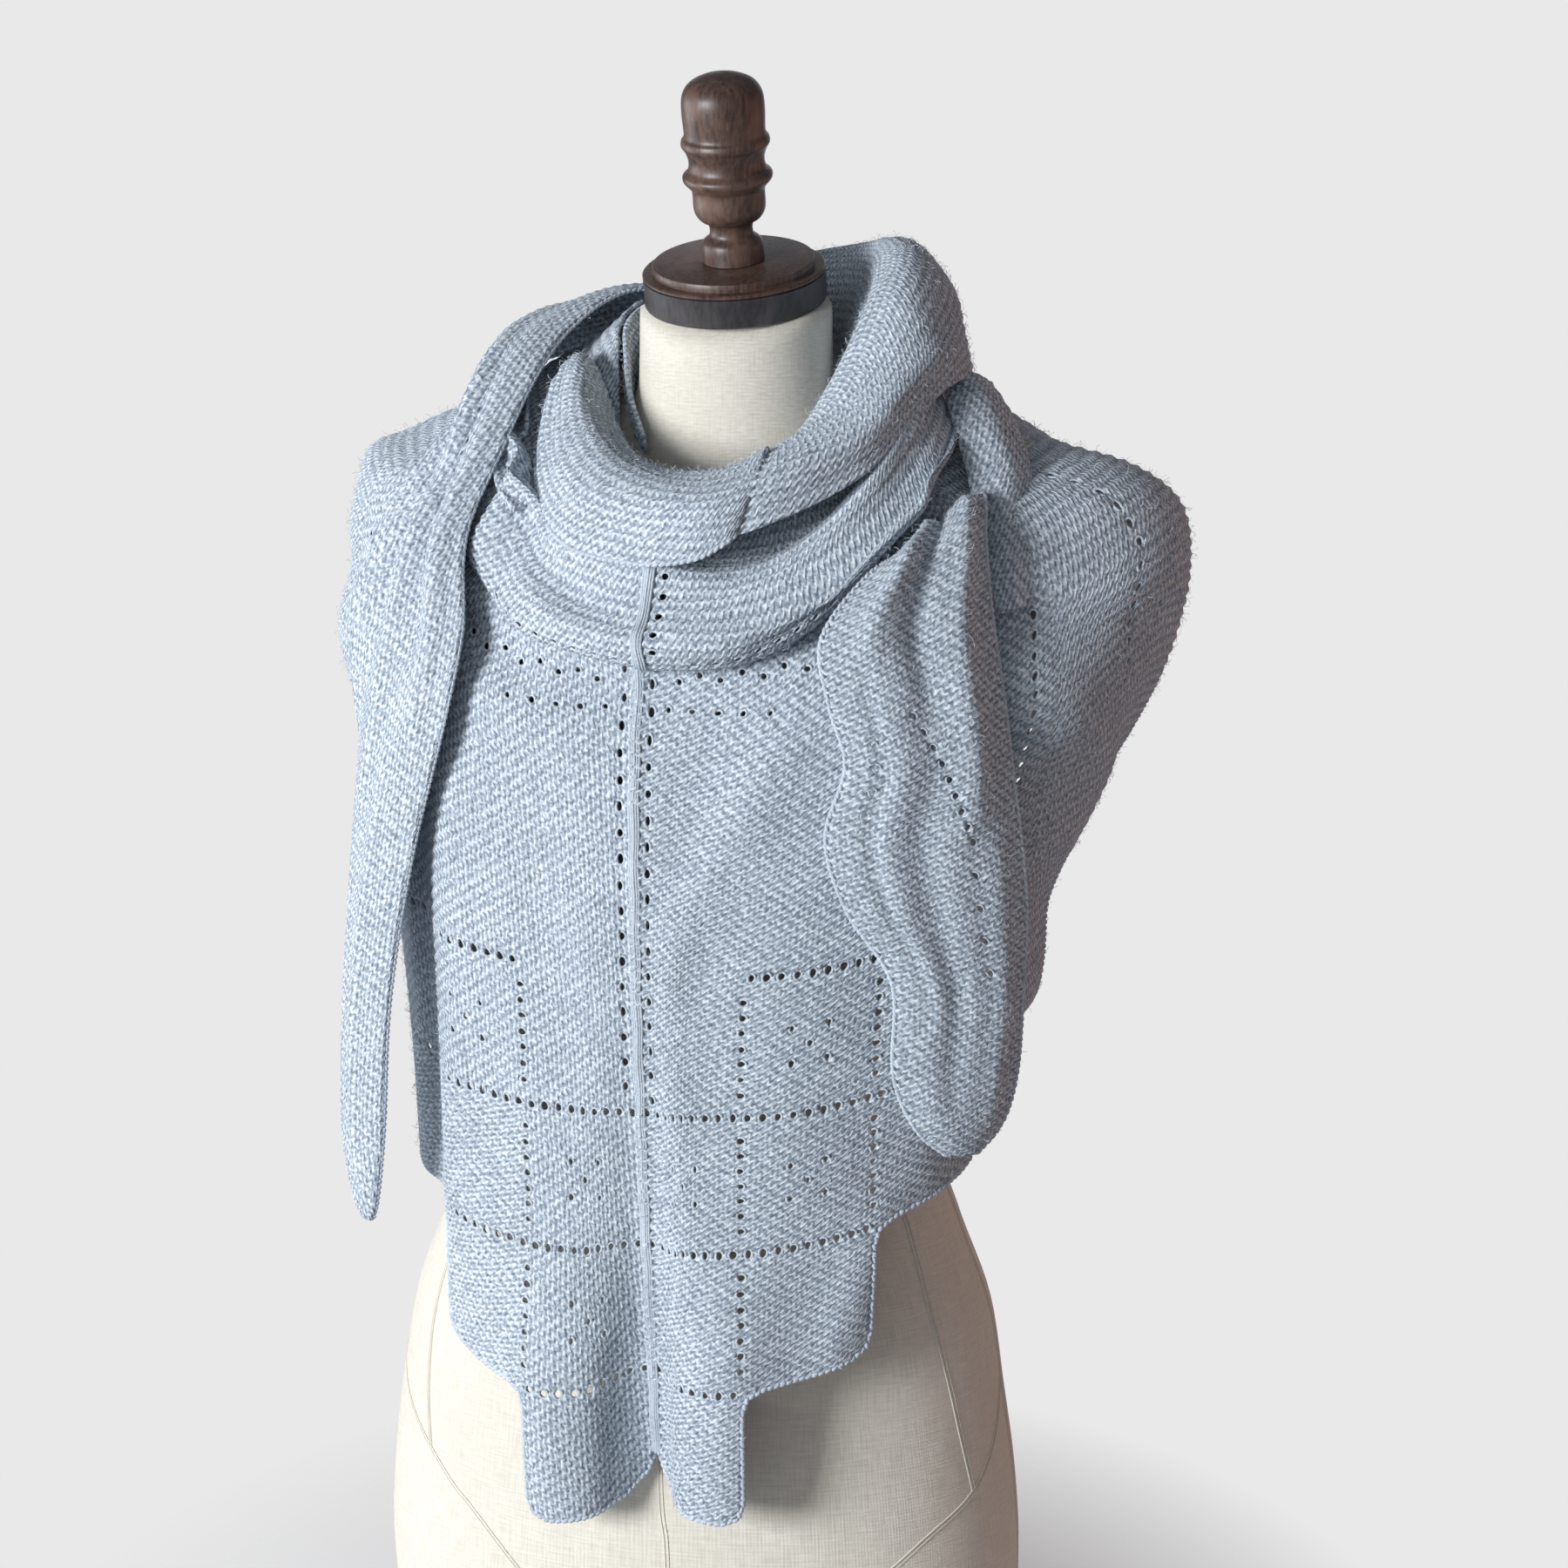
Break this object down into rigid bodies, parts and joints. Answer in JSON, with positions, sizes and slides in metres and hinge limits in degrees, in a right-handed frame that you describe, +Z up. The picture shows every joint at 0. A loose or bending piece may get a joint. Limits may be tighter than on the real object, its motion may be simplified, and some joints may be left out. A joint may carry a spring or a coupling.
{
  "type": "knitted shawl on a limbless dress form",
  "caption": "Knitted triangular shawl with a stepped, eyelet-squared border, worn point forward on a limbless linen dress form; tails crossed at the nape hang in front",
  "frame": {"origin": "point of the flat underside of the form, the face that it stands on, 13 mm right of its middle and below the chest", "axes": "+Z up along the height of the form; the form faces -Y; +X is to the right seen from in front"},
  "size_m": [0.4379, 0.2791, 0.8987],
  "materials": {
    "wool_knit": "hand-knitted heathered wool in garter stitch with eyelet lines",
    "linen": "plain-weave cream linen stretched over a padded form",
    "dark_wood": "turned hardwood with a dark stain and a satin wax"
  },
  "bodies": {
    "root": {"base_board": "dark_wood", "torso": "linen", "neck_cap": "dark_wood", "finial": "dark_wood", "front_panel": "wool_knit", "shoulder_left": "wool_knit", "shoulder_right": "wool_knit", "wing_left_back": "wool_knit", "wing_right_back": "wool_knit", "cowl_fold": "wool_knit", "cowl_flap": "wool_knit", "neck_band_right": "wool_knit", "neck_band_left": "wool_knit", "tail_left": "wool_knit", "tail_right": "wool_knit"}
  },
  "joints": []
}
